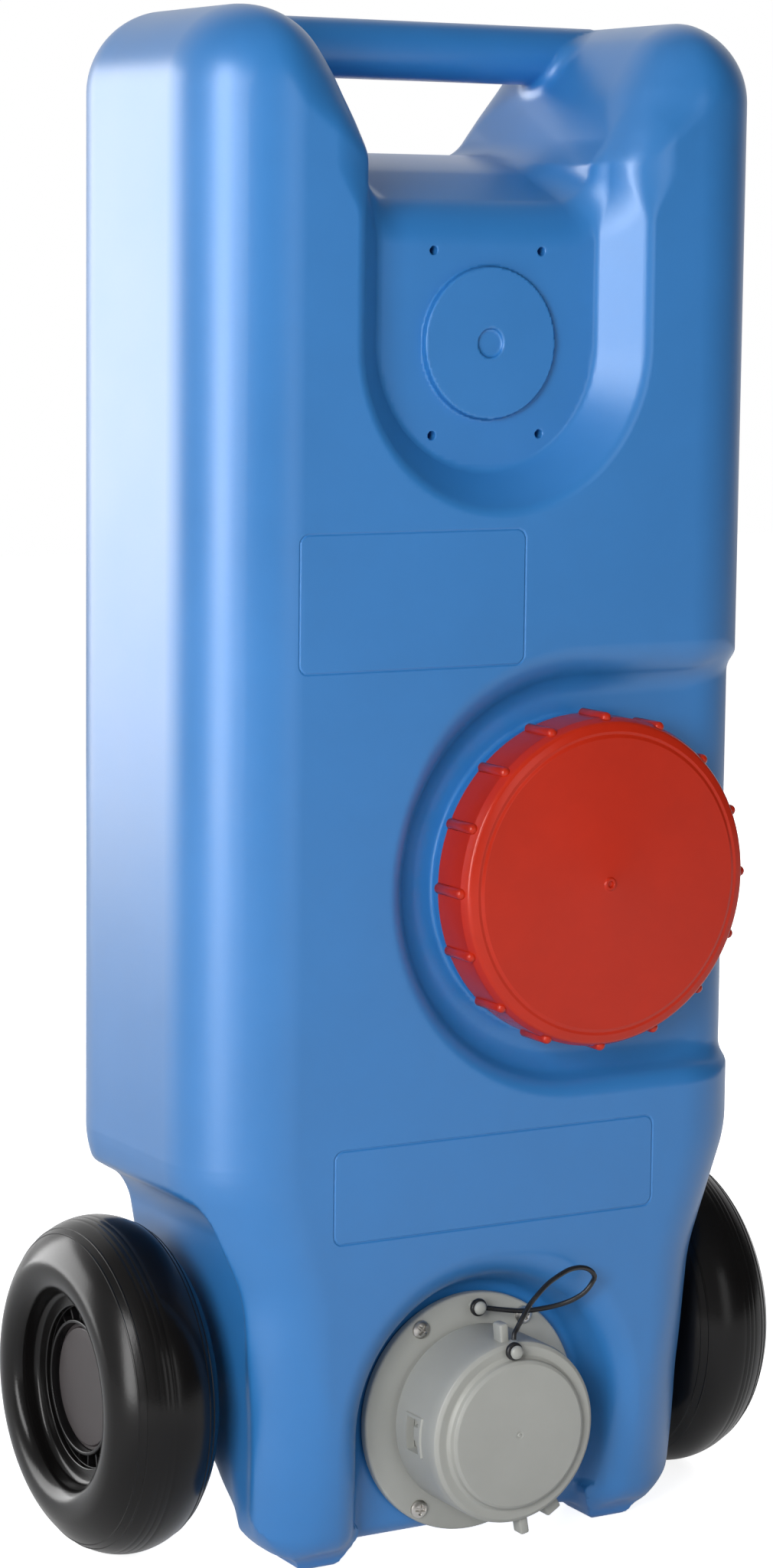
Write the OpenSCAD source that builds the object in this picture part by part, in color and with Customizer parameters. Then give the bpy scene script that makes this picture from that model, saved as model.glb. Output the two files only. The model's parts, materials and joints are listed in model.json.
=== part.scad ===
// Wheeled water bowser: an upright moulded tank with a carrying bar, a screwed filler,
// a bayonet outlet at its foot and two wheels on a through axle.
// Millimetres, +Z up, the front faces -Y, origin on the ground at the middle of the outline.

/* [Tank] */
// Width of the tank across its sides
tank_w = 325; // [318:1:335]
// Depth of the tank from front to back
tank_d = 172; // [168:1:180]
// Height of the tower tops above the ground
tank_h = 774; // [766:1:790]
// Thickness of the moulded wall
wall = 3.5; // [2.5:0.25:4.5]
// Radius of the upright edges at the front
front_edge_r = 50; // [44:1:54]
// Radius of the upright edges at the back
rear_edge_r = 45; // [38:1:50]
// Radius of the edges along the front and back of the top
top_edge_r = 40; // [34:1:44]
// Radius of the round tower tops
tower_r = 42; // [38:1:46]

/* [Foot of the tank] */
// Narrowing of each side of the tank between the wheels
waist_inset = 37.5; // [35.5:0.5:40.5]
// Height where the tank starts to narrow
shoulder_z = 203; // [200:1:210]
// Height at which the slope reaches the waist
waist_z = 80; // [70:1:95]
// Height of the bend between the steep and the shallow slope
bend_z = 143; // [135:1:150]
// Widening of each side from the waist to the bend
bend_out = 10; // [8:1:13]
// Radius of the upright front edges at the waist
waist_edge_r = 34; // [28:1:38]
// Depth of the front strip that stays in front of the wheel wells
well_front = 26; // [20:1:30]
// Height of the wheel well roof at the waist
well_roof_z = 176; // [174:1:184]
// Clearance of the underside between the feet
belly_z = 8; // [6:0.5:12]
// Height of the raised underside behind the feet
rear_belly_z = 58; // [52:1:64]
// Distance of each foot from the middle
foot_x = 87; // [80:1:92]
// Width of the flat under each foot
foot_w = 22; // [16:1:26]
// Depth of each foot
foot_d = 27; // [22:1:28]

/* [Handle] */
// Diameter of the moulded carrying bar
bar_d = 30; // [27:1:31]
// Distance of the bar behind the front face
bar_depth = 115; // [108:1:120]
// Drop of the sill of the hand hole below the tower tops
sill_drop = 67; // [62:1:74]
// Half width of the hand hole at the sill
sill_half_w = 65; // [60:1:70]
// Slant of the tower sides in the hand hole
tower_slant = 23; // [20:1:26]
// Radius of the tower edges in front of the hand hole
funnel_front_r = 47; // [42:1:50]
// Radius of the tower edges behind the hand hole
funnel_rear_r = 34; // [28:1:38]
// Depth at which the sloped floor in front of the hand hole reaches the sill
funnel_depth = 97; // [90:1:100]

/* [Accessory recess] */
// Drop of the centre of the round end of the recess below the sill
recess_drop = 94; // [91:1:99]
// Radius of the recess at the front face
recess_rim_r = 83; // [80:1:86]
// Radius of the recess at its floor
recess_floor_r = 63; // [58:1:66]
// Depth of the recess
recess_depth = 20.5; // [18:0.5:23]
// Radius of the round boss on the floor
boss_r = 37.5; // [35:0.5:39]
// Height of the round boss
boss_h = 4; // [3:0.5:6]
// Radius of the dimple in the boss
dimple_r = 7; // [5:0.5:9]
// Sideways spacing of the screw holes
hole_dx = 62; // [58:1:66]
// Upright spacing of the screw holes
hole_dz = 90; // [84:1:94]
// Radius of the screw holes
hole_r = 2.1; // [1.6:0.1:2.5]
// Depth of the screw holes
hole_depth = 10; // [8:0.5:12]
// Radius of the pillar behind each screw hole
pillar_r = 6; // [5:0.5:7]

/* [Filler] */
// Sideways place of the filler axis
filler_x = 49; // [46:1:52]
// Height of the filler axis as a share of the height of the tank
filler_share = 0.447; // [0.44:0.001:0.455]
// Radius of the filler pocket at the front face
pocket_rim_r = 108; // [105:1:111]
// Radius of the filler pocket at its floor
pocket_floor_r = 98; // [96:1:101]
// Depth of the filler pocket
pocket_depth = 14; // [12:0.5:16]
// Radius of the raised seat round the neck
seat_r = 90.5; // [88:0.5:92]
// Height of the raised seat above the pocket floor
seat_h = 8; // [7:0.5:9]
// Outer radius of the neck
neck_r = 74; // [72:0.5:74.5]
// Radius of the filler mouth
mouth_r = 67; // [64:0.5:68]
// Length of the neck above its seat
neck_len = 22; // [20:0.5:23]
// Radius of the cap skirt
cap_r = 82.5; // [81:0.5:84]
// Length of the cap skirt and top
cap_len = 28.5; // [27.5:0.5:31]
// Thickness of the cap top
cap_top_t = 5; // [4:0.5:5]
// Thickness of the cap skirt
cap_skirt_t = 6.5; // [6:0.5:6.5]
// Number of grip ribs on the cap
cap_ribs = 16; // [8:1:24]
// Radius of each grip rib
cap_rib_r = 2.8; // [2:0.2:3.2]

/* [Outlet] */
// Height of the outlet axis
outlet_z = 70; // [68:1:73]
// Radius of the arched recess at the front face
arch_rim_r = 80; // [77:1:82]
// Radius of the arched recess at its floor
arch_floor_r = 66; // [65:1:68]
// Radius of the outlet flange
flange_r = 62; // [61:0.5:64]
// Thickness of the outlet flange
flange_t = 5; // [4:0.5:6]
// Thickness of the flange gasket
gasket_t = 1.5; // [1:0.25:2]
// Place of the flange face behind the front face
flange_face = 22; // [20:1:24]
// Outer radius of the outlet collar
collar_r = 42.8; // [42:0.2:43.4]
// Radius of the outlet bore
outlet_bore_r = 37; // [34:0.5:38]
// Length of the collar in front of the flange face
collar_len = 37; // [36:0.5:38]
// Thickness of the outlet cap skirt
skirt_t = 3.7; // [3.4:0.1:4.2]
// Radius of the circle of flange screws
screw_circle_r = 56; // [55:0.5:57]
// Angle of the flange screws from upright
screw_angle = 33; // [30:1:36]
// Radius of the flange screws
screw_r = 2.5; // [2:0.25:3]
// Diameter of the strap
strap_d = 2.6; // [2:0.2:3]
// Radius of the strap posts
post_r = 2.4; // [2:0.1:2.6]

/* [Wheels] */
// Radius of the wheels
wheel_r = 86; // [84:1:88]
// Radius of the round tyre section
tyre_section_r = 32; // [31:0.5:33]
// Radius of the lip inside the tyre wall
lip_r = 50.2; // [48:0.2:51]
// Distance of the tyre lip outside the middle of the wheel
lip_out = 15; // [13:0.5:17]
// Distance of the middle of each wheel outside the side of the tank
wheel_out = 3.5; // [2.5:0.5:7.5]
// Distance of the axle behind the front face
axle_depth = 105; // [102:1:108]
// Radius of the axle
axle_r = 6; // [5:0.5:6.5]
// Radius of the wheel hub
hub_r = 43.7; // [42.5:0.1:45]
// Width of the wheel hub
hub_w = 46; // [44:1:48]
// Radius of the hub cap
hub_cap_r = 32.5; // [30:0.5:33]
// Number of fins between the hub rings
hub_fins = 24; // [12:1:30]

/* [Clearances] */
// Running clearance of the bushes on the axle
running_fit = 0.05; // [0.02:0.01:0.1]
// Gap left between pieces that slide past each other
slide_gap = 0.5; // [0.3:0.1:0.6]
// Gap left between flat faces that only rest together
face_gap = 0.1; // [0.05:0.05:0.2]

/* [Hidden] */
$fn = 64;
hull_fn = 32;
blue = [0.16, 0.40, 0.72];
red = [0.78, 0.10, 0.07];
grey = [0.66, 0.66, 0.64];
black = [0.05, 0.05, 0.055];
dark_grey = [0.27, 0.27, 0.28];
steel = [0.72, 0.73, 0.75];

half_w = tank_w / 2;
waist_half = half_w - waist_inset;
wheel_x = half_w + wheel_out;
sill_z = tank_h - sill_drop;
recess_z = sill_z - recess_drop;
filler_z = tank_h * filler_share;
axle_z = wheel_r;
bar_z = tank_h - bar_d / 2 - 0.5;
edge_bite = 1.2;
seam = 0.4;
tower_x = half_w - tower_r + edge_bite;
tower_z = tank_h - tower_r;
overrun = 12;
toe_depth = 10;
toe_rise = 80;
heel_depth = 54;
heel_slope = 26;
tail_depth = 30;
tail_rise = 46;
foot_front = 24;
foot_flare = 8;
// Rounded lower corner: out from the waist, above the belly
corner_steps = [[-28, -2], [-13, 5], [-4, 16], [3, 40]];
slant = tan(tower_slant);
hole_widening = slant * (tank_h + overrun - sill_z);
funnel_front_z = sill_z - 30;
waist_side = waist_half + 2;
reach = half_w + overrun;
arch_floor = flange_face + flange_t + gasket_t;
screw_depth = 12;
seat_face = pocket_depth - seat_h;
neck_end = neck_len - seat_face;
cap_back = seat_face - 1.5;
cap_front = cap_len - cap_back;
cap_inside = cap_front - cap_top_t;
cap_bore_r = cap_r - cap_skirt_t;
collar_end = collar_len - flange_face;
outlet_cap_inside = collar_end + 2.6;
outlet_face = outlet_cap_inside + 7.8;
post_rise = 3;
// The outline runs from the post on the outlet cap to the back of the wheels
origin_depth = (axle_depth + wheel_r - outlet_face - post_rise) / 2;
skirt_bore_r = collar_r + slide_gap;
skirt_r = skirt_bore_r + skirt_t;
skirt_back = -(flange_face - 4);
lug_half_angle = 4.5;
lug_half_len = 3;
lug_r = skirt_bore_r + 1.8;
groove_r = lug_r + slide_gap;
groove_sweep = 58;
window_half_angle = 10.5;
wing_reach = 9;
wing_low = 9;
wing_high = 17;
wing_w = 5;
stop_low = 4;
stop_high = 15;
stop_w = 8;
cap_post_angle = 94;
cap_post_r = skirt_r - 3.5;
flange_post_r = flange_r - 6;
eye_r = 4.6;
eye_t = 3;
flange_eye_depth = 16;
cap_eye_out = 23.5;
tunnel_r = axle_r + slide_gap;
bush_r = axle_r + 2.2;
hub_back = -hub_w / 2;
bush_flange_t = 1.5;
bush_end = 2;
cap_seat = lip_out - 1.8;
hub_ring_t = 2;
hub_ring_top = lip_out + 1;
rim_half = lip_out - 2;
rim_t = 3;
fin_t = 1.6;
disc_edge = 2.7;
// Inner wall of the tyre from the lip to the crest: out from the lip, outwards along the axle
tyre_wall = [[0, 0], [0.2, 9], [1.8, 12], [4.4, 14.2], [7.8, 15.4], [13.8, 16.2], [20, 25]];
washer_t = 1.6;
nut_t = 2;
axle_end = 6.4;
spacer_r = axle_r + 4;

// Route of the strap from the flange post to the cap post: right, behind the front face, up
strap_route = [
    [5, 16, 125], [12, 13, 124], [22, 9, 123], [31, 5, 124], [39, 1, 126], [45, -3, 129],
    [50, -6, 133], [53, -8, 138], [53, -10, 142], [49, -11, 146], [43, -12, 148], [36, -13, 148],
    [29, -14, 146], [22, -15, 143], [15, -17, 139], [9, -18, 134], [4, -20, 129], [0, -21, 124],
    [-2, -22, 122], [-3, -23, 119.2]
];

// Frames: depth is measured back from the front face, local height is measured out of it
module placed() {
    translate([0, -origin_depth, 0]) children();
}

module out_of_front(x, z) {
    placed() translate([x, 0, z]) rotate([90, 0, 0]) children();
}

module along_depth(from, to) {
    translate([0, to, 0]) rotate([90, 0, 0]) linear_extrude(to - from) children();
}

module across(half_length) {
    translate([-half_length, 0, 0]) rotate([90, 0, 90]) linear_extrude(2 * half_length) children();
}

module both_sides() {
    children();
    mirror([1, 0, 0]) children();
}

module ring(outer, inner, height) {
    difference() {
        cylinder(r = outer, h = height);
        translate([0, 0, -1]) cylinder(r = inner, h = height + 2);
    }
}

// Tank outlines, drawn smaller by inset for the hollow inside

module plan_outline(inset, side, front, front_r, rear_r) {
    w = side - inset;
    f = front + inset;
    b = tank_d - inset;
    fr = front_r - inset;
    rr = rear_r - inset;
    translate([-w, f + fr]) square([2 * w, b - rr - f - fr]);
    translate([-(w - fr), f]) square([2 * (w - fr), fr + 1]);
    translate([-(w - rr), b - rr - 1]) square([2 * (w - rr), rr + 1]);
    for (s = [-1, 1]) {
        translate([s * (w - fr), f + fr]) circle(r = fr);
        translate([s * (w - rr), b - rr]) circle(r = rr);
    }
}

module front_outline(inset) {
    translate([-reach, 0]) square([2 * reach, tower_z]);
    translate([-tower_x, tower_z - 1]) square([2 * tower_x, 9 - inset]);
    for (s = [-1, 1]) translate([s * tower_x, tower_z]) circle(r = tower_r - inset);
}

module side_outline(inset) {
    r = top_edge_r - inset;
    top = tank_h - inset;
    front = inset - edge_bite + r;
    back = tank_d - inset + edge_bite - r;
    polygon([
        [-overrun + inset, belly_z + toe_rise], [toe_depth + inset, belly_z + inset],
        [heel_depth, belly_z + inset], [heel_depth + heel_slope, rear_belly_z + inset],
        [tank_d - tail_depth, rear_belly_z + 4 + inset],
        [tank_d + overrun, rear_belly_z + tail_rise + inset], [tank_d + overrun, top - r], [-overrun, top - r],
        [-overrun, belly_z + toe_rise]
    ]);
    translate([front, top - r - 1]) square([back - front, r + 1]);
    for (y = [front, back]) translate([y, top - r]) circle(r = r);
}

// Rounds the four top corners off like balls
module corner_dome(inset) {
    r = tower_r + edge_bite - inset;
    hull() {
        for (sx = [-1, 1], y = [tower_r, tank_d - tower_r])
            translate([sx * (half_w - tower_r), y, tank_h - tower_r]) sphere(r = r, $fn = hull_fn);
        translate([-reach, -overrun, 0]) cube([2 * reach, tank_d + 2 * overrun, tank_h - 3 * tower_r]);
    }
}

module plan_slice(inset, z, w, r) {
    $fn = hull_fn;
    translate([0, 0, z]) linear_extrude(0.5) plan_outline(inset, w, 0, r, rear_edge_r);
}

// The plan widens from the waist to the shoulder, steeply first and then in a shallow slope
module stacked_plan(inset) {
    bend_side = waist_side + bend_out;
    bend_edge_r = (waist_edge_r + front_edge_r) / 2;
    translate([0, 0, -1]) linear_extrude(waist_z + 1.3)
        plan_outline(inset, waist_side, 0, waist_edge_r, rear_edge_r);
    hull() {
        plan_slice(inset, waist_z, waist_side, waist_edge_r);
        plan_slice(inset, bend_z, bend_side, bend_edge_r);
    }
    hull() {
        plan_slice(inset, bend_z, bend_side, bend_edge_r);
        plan_slice(inset, shoulder_z, half_w, front_edge_r);
    }
    translate([0, 0, shoulder_z + 0.2]) linear_extrude(tank_h - shoulder_z + 1)
        plan_outline(inset, half_w, 0, front_edge_r, rear_edge_r);
}

module upright_block(inset) {
    intersection() {
        stacked_plan(inset);
        along_depth(-overrun, tank_d + overrun) front_outline(inset);
        across(reach + 1) side_outline(inset);
        corner_dome(inset);
    }
}

// The lower corners are rounded, and the foot is cut back behind its front for the wheels
module waist_cut(grow) {
    w = waist_side - grow;
    low = belly_z + grow;
    both_sides() {
        along_depth(-overrun, tank_d + overrun) polygon(concat(
            [[w + corner_steps[0][0], -overrun]],
            [for (step = corner_steps) [w + step[0], low + step[1]]],
            [[reach, low + corner_steps[3][1]], [reach, -overrun]]
        ));
        along_depth(well_front - grow, tank_d + 2 * overrun) polygon([
            [waist_half - grow, -2 * overrun], [waist_half - grow, well_roof_z + grow],
            [reach + 1, well_roof_z + 29 + grow], [reach + 1, -2 * overrun]
        ]);
    }
}

module hand_hole_cut(grow) {
    low = sill_half_w + grow;
    along_depth(-overrun, tank_d + overrun) polygon([
        [-low, sill_z - grow], [low, sill_z - grow],
        [low + hole_widening, tank_h + overrun], [-low - hole_widening, tank_h + overrun]
    ]);
}

// A cone cut into the front face with straight sides running on from it
module flared_cut(z, rim_r, floor_r, depth, from_z, to_z) {
    translate([0, -1, z]) rotate([-90, 0, 0]) cylinder(r1 = rim_r, r2 = floor_r, h = depth + 1);
    translate([0, 0, from_z]) linear_extrude(to_z - from_z) polygon([
        [-rim_r + seam, -1], [rim_r - seam, -1], [floor_r - seam, depth], [-floor_r + seam, depth]
    ]);
}

module recess_cut(grow) {
    flared_cut(recess_z, recess_rim_r + grow, recess_floor_r + grow, recess_depth + grow,
        recess_z, funnel_front_z + 20 + grow);
}

// The tower edges on both sides of the hand hole are rounded along the slanted sides
module rounded_edge(r, grow) {
    c = r - edge_bite;
    difference() {
        translate([-2, -overrun]) square([c + 2, c + overrun]);
        translate([c, c]) circle(r = r - grow);
    }
}

module on_tower_side(start) {
    both_sides() translate([sill_half_w, 0, sill_z]) rotate([0, tower_slant, 0])
        translate([0, 0, start]) linear_extrude(tank_h - sill_z + 40) children();
}

module funnel_cut(grow) {
    on_tower_side(-14) rounded_edge(funnel_front_r, grow);
    on_tower_side(4) translate([0, tank_d]) mirror([0, 1]) rounded_edge(funnel_rear_r, grow);
    rise = (sill_z - funnel_front_z) / (funnel_depth - recess_depth);
    across(recess_floor_r + 1.5 + grow) polygon([
        [-overrun, funnel_front_z - 8 - grow], [recess_depth, funnel_front_z - grow],
        [funnel_depth + overrun, sill_z + rise * overrun - grow], [funnel_depth + overrun, sill_z + 20],
        [-overrun, sill_z + 20]
    ]);
}

// The filler pocket is round on the left and runs out through the right edge of the tank
module pocket_cut(grow) {
    difference() {
        union() {
            translate([filler_x, -1, filler_z]) rotate([-90, 0, 0])
                cylinder(r1 = pocket_rim_r + grow, r2 = pocket_floor_r + grow, h = pocket_depth + 1 + grow);
            translate([0, 0, filler_z - pocket_floor_r - 5 - grow])
                linear_extrude(2 * (pocket_floor_r + 5 + grow)) difference() {
                    translate([filler_x, -overrun]) square([half_w, front_edge_r + 2 * overrun]);
                    plan_outline(grow, half_w - 2, pocket_depth, front_edge_r - 14, rear_edge_r);
                }
        }
        translate([filler_x, seat_face + grow, filler_z]) rotate([-90, 0, 0])
            cylinder(r = seat_r - grow, h = pocket_depth + overrun);
    }
}

module arch_cut(grow) {
    flared_cut(outlet_z, arch_rim_r + grow, arch_floor_r + grow, arch_floor + grow, -overrun, outlet_z);
}

module tunnel_cut(grow) {
    translate([0, axle_depth, axle_z]) rotate([0, 90, 0])
        cylinder(r = tunnel_r + grow, h = tank_w, center = true);
}

module carrying_bar(inset) {
    translate([0, bar_depth, bar_z]) rotate([0, 90, 0])
        cylinder(r = bar_d / 2 - inset, h = 2 * tower_x, center = true);
}

module tank_form(inset) {
    difference() {
        upright_block(inset);
        waist_cut(inset);
        hand_hole_cut(inset);
        recess_cut(inset);
        funnel_cut(inset);
        pocket_cut(inset);
        arch_cut(inset);
        tunnel_cut(inset);
    }
    carrying_bar(inset);
}

module foot() {
    top = belly_z + wall / 2;
    half = foot_w / 2;
    translate([foot_x, 0, 0]) along_depth(foot_front, foot_front + foot_d) polygon([
        [-half, 0], [half, 0], [half + foot_flare, top], [-half - foot_flare, top]
    ]);
}

module at_accessory_holes() {
    for (sx = [-1, 1], sz = [-1, 1])
        translate([sx * hole_dx / 2, recess_depth, recess_z + sz * hole_dz / 2]) rotate([-90, 0, 0])
            children();
}

module at_flange_screws() {
    for (a = [-screw_angle, screw_angle, 180 - screw_angle, 180 + screw_angle])
        translate([screw_circle_r * sin(a), screw_circle_r * cos(a), 0]) children();
}

module tank_shell() {
    color(blue) placed() difference() {
        union() {
            difference() {
                tank_form(0);
                tank_form(wall);
            }
            both_sides() foot();
            at_accessory_holes() translate([0, 0, 1]) cylinder(r = pillar_r, h = hole_depth + wall);
            translate([0, recess_depth + 1, recess_z]) rotate([90, 0, 0]) cylinder(r = boss_r, h = boss_h + 1);
            translate([filler_x, seat_face + 1, filler_z]) rotate([90, 0, 0])
                cylinder(r = neck_r, h = neck_len + 1);
            translate([0, arch_floor + 1, outlet_z]) rotate([-90, 0, 0])
                at_flange_screws() cylinder(r = pillar_r, h = screw_depth + wall);
        }
        at_accessory_holes() translate([0, 0, -1]) cylinder(r = hole_r, h = hole_depth + 1);
        translate([0, recess_depth - boss_h - 1, recess_z]) rotate([-90, 0, 0]) cylinder(r = dimple_r, h = 3);
        translate([filler_x, -neck_end - 1, filler_z]) rotate([-90, 0, 0])
            cylinder(r = mouth_r, h = neck_end + pocket_depth + wall + 2);
        translate([0, arch_floor - 1, outlet_z]) rotate([-90, 0, 0]) {
            cylinder(r = outlet_bore_r, h = wall + 3);
            at_flange_screws() cylinder(r = screw_r + face_gap, h = screw_depth + 1);
        }
    }
}

// Filler cap and its sealing ring

module filler_cap() {
    color(red) out_of_front(filler_x, filler_z) {
        rotate_extrude() polygon([
            [0, cap_inside], [cap_bore_r, cap_inside], [cap_bore_r, -cap_back], [cap_r, -cap_back],
            [cap_r, cap_front - 7], [cap_r - 2, cap_front - 2.5], [cap_r - 6, cap_front - 1],
            [cap_r - 7.5, cap_front - 1.8], [cap_r - 9, cap_front], [0, cap_front]
        ]);
        for (k = [0:cap_ribs - 1]) rotate((k + 0.5) * 360 / cap_ribs) translate([cap_r, 0, 0]) {
            translate([0, 0, -cap_back + 1]) cylinder(r = cap_rib_r, h = cap_front + cap_back - 9.5);
            translate([0, 0, cap_front - 8.5]) cylinder(r1 = cap_rib_r, r2 = cap_rib_r / 2, h = 3);
        }
    }
}

module filler_cap_seal() {
    color(black) out_of_front(filler_x, filler_z) translate([0, 0, neck_end + face_gap])
        ring(neck_r, mouth_r, cap_inside - neck_end - 2 * face_gap);
}

// Outlet: flange with collar, gasket, screws, bayonet cap and seal

module post(length) {
    cylinder(r = post_r, h = length);
    translate([0, 0, length - 2]) cylinder(r1 = post_r + 0.8, r2 = post_r - 0.4, h = 2);
}

module sector(inner, outer, low, high, start, sweep) {
    rotate(start) rotate_extrude(angle = sweep) translate([inner, low]) square([outer - inner, high - low]);
}

module outlet_flange() {
    color(grey) out_of_front(0, outlet_z) translate([0, 0, -flange_face]) {
        difference() {
            union() {
                translate([0, 0, -flange_t]) cylinder(r = flange_r, h = flange_t - 1);
                translate([0, 0, -1]) cylinder(r1 = flange_r, r2 = flange_r - 1, h = 1);
                cylinder(r = collar_r, h = collar_len);
            }
            translate([0, 0, -flange_t - 1]) cylinder(r = outlet_bore_r, h = flange_t + collar_len + 2);
            at_flange_screws() translate([0, 0, -flange_t - 1]) cylinder(r = screw_r + 0.3, h = flange_t + 2);
        }
        for (a = [0, 180]) sector(collar_r - 1, lug_r, flange_face - lug_half_len, flange_face + lug_half_len,
            a - lug_half_angle, 2 * lug_half_angle);
        translate([0, flange_post_r, -0.5]) post(10.5);
    }
}

module outlet_gasket() {
    color(black) out_of_front(0, outlet_z) translate([0, 0, -arch_floor]) difference() {
        ring(flange_r - 1, outlet_bore_r, gasket_t);
        at_flange_screws() translate([0, 0, -1]) cylinder(r = screw_r + 0.3, h = gasket_t + 2);
    }
}

module outlet_screws() {
    color(steel) out_of_front(0, outlet_z) at_flange_screws() {
        translate([0, 0, -flange_face]) cylinder(r1 = screw_r + 2.2, r2 = screw_r + 1.2, h = 2.6);
        translate([0, 0, -arch_floor - screw_depth + 1])
            cylinder(r = screw_r, h = arch_floor - flange_face + screw_depth - 1);
    }
}

module wing(angle, width, low, high) {
    rotate(angle) translate([skirt_r - 1, -width / 2, low]) cube([wing_reach + 1, width, high - low]);
}

module outlet_cap() {
    face = outlet_face;
    color(grey) out_of_front(0, outlet_z) {
        difference() {
            union() {
                rotate_extrude() polygon([
                    [0, outlet_cap_inside], [skirt_bore_r, outlet_cap_inside], [skirt_bore_r, skirt_back],
                    [skirt_r, skirt_back], [skirt_r, face - 8], [skirt_r - 0.6, face - 6],
                    [skirt_r - 2.5, face - 4.5], [skirt_r - 7, face - 5], [skirt_r - 8.5, face - 3.5],
                    [skirt_r - 9, face - 1], [skirt_r - 10.5, face], [0, face]
                ]);
                for (a = [95, -80]) wing(a, wing_w, wing_low, wing_high);
                wing(-60, stop_w, stop_low, stop_high);
            }
            for (a = [0, 180]) {
                sector(skirt_bore_r - 1, groove_r, skirt_back - 1, lug_half_len + 1.5,
                    a - groove_sweep + 8, groove_sweep);
                sector(skirt_bore_r - 1, skirt_r + 1, -lug_half_len - 3, lug_half_len + 2,
                    a - window_half_angle, 2 * window_half_angle);
            }
        }
        rotate(cap_post_angle) translate([cap_post_r, 0, face - 6]) post(6 + post_rise);
    }
}

module outlet_cap_seal() {
    color(black) out_of_front(0, outlet_z) translate([0, 0, collar_end + face_gap])
        ring(collar_r, outlet_bore_r, outlet_cap_inside - collar_end - 2 * face_gap);
}

// Strap: a tube swept along its route, with an eye round each post

function unit(v) = v / norm(v);
function heading(p, i) = unit(p[min(i + 1, len(p) - 1)] - p[max(i - 1, 0)]);
function ring_points(p, i, r, sides) =
    let (d = heading(p, i), u = unit(cross(d, [0.3, 1, 0.2])), v = cross(d, u))
    [for (k = [0:sides - 1]) p[i] + r * (cos(k * 360 / sides) * u + sin(k * 360 / sides) * v)];

module tube_along(p, r, sides) {
    n = len(p);
    points = [for (i = [0:n - 1]) each ring_points(p, i, r, sides)];
    walls = [for (i = [0:n - 2], k = [0:sides - 1])
        let (a = i * sides + k, b = i * sides + (k + 1) % sides)
        each [[a, b, a + sides], [b, b + sides, a + sides]]];
    first = [for (k = [1:sides - 2]) [0, k + 1, k]];
    last = [for (k = [1:sides - 2]) [(n - 1) * sides, (n - 1) * sides + k, (n - 1) * sides + k + 1]];
    polyhedron(points, concat(walls, first, last));
}

module outlet_strap() {
    color(black) placed() tube_along(strap_route, strap_d / 2, 8);
}

module eye() {
    translate([0, 0, -eye_t / 2]) ring(eye_r, post_r + slide_gap / 2, eye_t);
}

module strap_flange_eye() {
    color(black) out_of_front(0, outlet_z) translate([0, flange_post_r, -flange_eye_depth]) eye();
}

module strap_cap_eye() {
    color(black) out_of_front(0, outlet_z) rotate(cap_post_angle) translate([cap_post_r, 0, cap_eye_out]) eye();
}

// Wheels: local height is measured outwards from the middle of the wheel

module on_axle(side, x) {
    placed() translate([side * x, axle_depth, axle_z]) rotate([0, side * 90, 0]) children();
}

module axle() {
    color(steel) on_axle(1, 0) cylinder(r = axle_r, h = 2 * (wheel_x + axle_end), center = true);
}

module spacer(side) {
    start = waist_half + face_gap;
    color(grey) on_axle(side, start)
        ring(spacer_r, axle_r + face_gap, wheel_x + hub_back - bush_flange_t - washer_t - 0.6 - start);
}

module inner_washer(side) {
    color(steel) on_axle(side, wheel_x + hub_back - bush_flange_t - washer_t - 0.4)
        ring(axle_r + 7, axle_r + face_gap, washer_t);
}

module outer_washer(side) {
    color(steel) on_axle(side, wheel_x + bush_end + 0.3) ring(axle_r + 6, axle_r + face_gap, washer_t);
}

module push_nut(side) {
    color(steel) on_axle(side, wheel_x + bush_end + washer_t + 0.5) difference() {
        cylinder(r1 = axle_r + 5, r2 = axle_r + 3, h = nut_t);
        translate([0, 0, -1]) cylinder(r = axle_r, h = nut_t + 2);
    }
}

module tyre(side) {
    color(black) on_axle(side, wheel_x) rotate_extrude() difference() {
        translate([wheel_r - tyre_section_r, 0]) circle(r = tyre_section_r);
        translate([0, -wheel_r]) square([hub_r, 2 * wheel_r]);
        for (s = [-1, 1]) polygon(concat(
            [[0, s * (lip_out + tyre_wall[6][1])], [0, s * lip_out]],
            [for (step = tyre_wall) [lip_r + step[0], s * (lip_out + step[1])]]
        ));
    }
}

module hub(side) {
    ring_r = hub_cap_r + hub_ring_t;
    rim_r = hub_r - rim_t;
    color(black) on_axle(side, wheel_x) {
        rotate_extrude() polygon([
            [bush_r, hub_back], [bush_r + 6, hub_back], [bush_r + 6, -4], [rim_r, -4],
            [rim_r, -rim_half], [hub_r, -rim_half], [hub_r, rim_half], [rim_r, rim_half],
            [rim_r, 2], [ring_r, 2], [ring_r, hub_ring_top], [hub_cap_r, hub_ring_top],
            [hub_cap_r, 0], [bush_r, 0]
        ]);
        for (k = [0:hub_fins - 1]) rotate(k * 360 / hub_fins)
            translate([ring_r - 1, -fin_t / 2, 1]) cube([rim_r - ring_r + 2, fin_t, rim_half - 2]);
    }
}

module bush(side) {
    color(grey) on_axle(side, wheel_x + hub_back - bush_flange_t) {
        ring(bush_r, axle_r + running_fit, bush_end - hub_back + bush_flange_t);
        ring(bush_r + 5, axle_r + running_fit, bush_flange_t);
    }
}

module hub_cap(side) {
    color(dark_grey) on_axle(side, wheel_x) rotate_extrude() polygon([
        [hub_cap_r - 2.5, cap_seat - 7], [hub_cap_r, cap_seat - 7], [hub_cap_r, cap_seat - 1.7],
        [hub_cap_r - disc_edge + 0.5, cap_seat - 1.7], [hub_cap_r - disc_edge, cap_seat],
        [0, cap_seat], [0, cap_seat - 2.2], [hub_cap_r - 2.5, cap_seat - 2.2]
    ]);
}

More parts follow.
